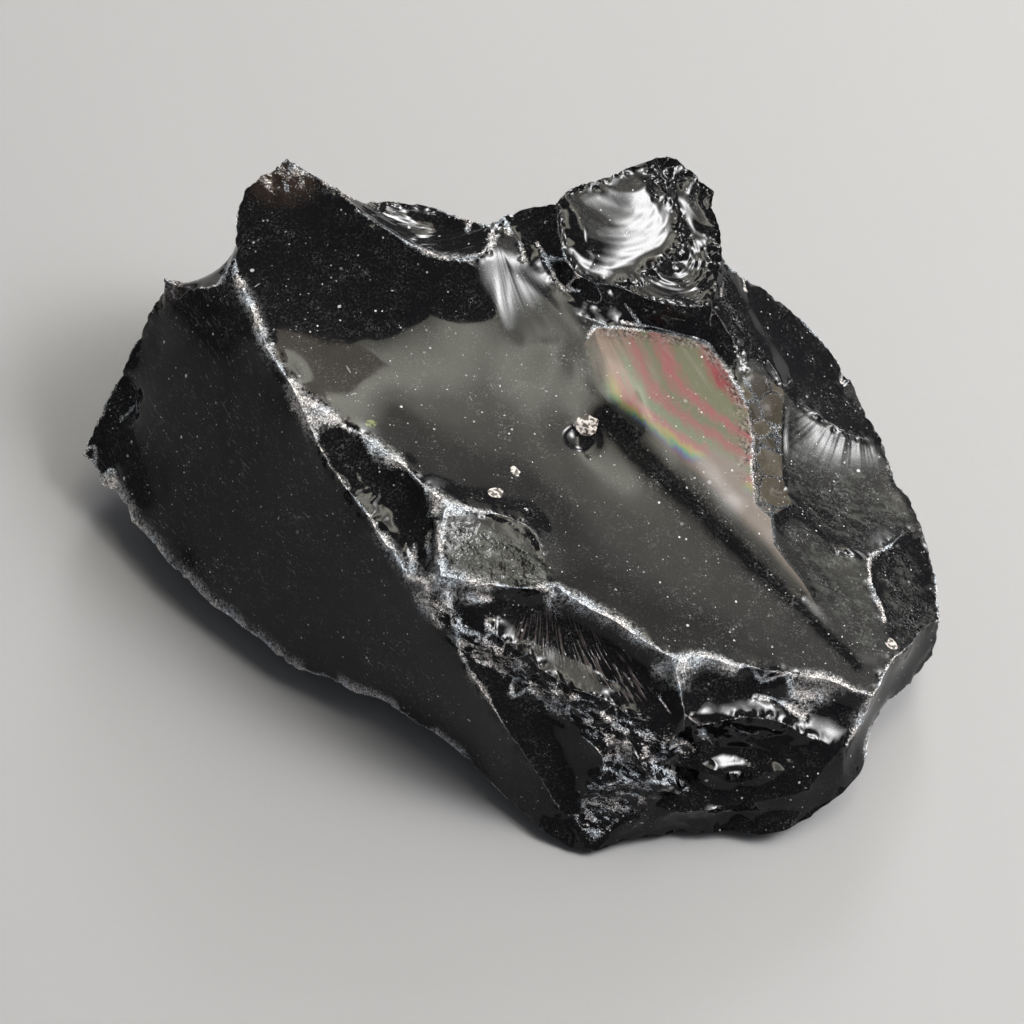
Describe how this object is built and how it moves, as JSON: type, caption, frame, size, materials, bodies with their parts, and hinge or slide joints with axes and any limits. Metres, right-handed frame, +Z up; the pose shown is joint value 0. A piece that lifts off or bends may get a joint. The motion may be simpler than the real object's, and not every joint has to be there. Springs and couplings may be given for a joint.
{
  "type": "andara crystal",
  "caption": "Rough lump of black natural glass with shell-shaped fracture scars, sharp ridges, a broad dished top face and a flat bed underneath.",
  "frame": {"origin": "middle of the stone's plan box, on the plane of the flat bed that it lies on", "axes": "+X along the stone's longest extent, from the thin left wall's tip to the east tip, +Y from the south tip towards the two horns, +Z up, away from the bed"},
  "size_m": [0.0766, 0.0594, 0.0267],
  "materials": {
    "black_glass": "polished"
  },
  "bodies": {
    "root": {"andara_crystal": "black_glass"}
  },
  "joints": []
}
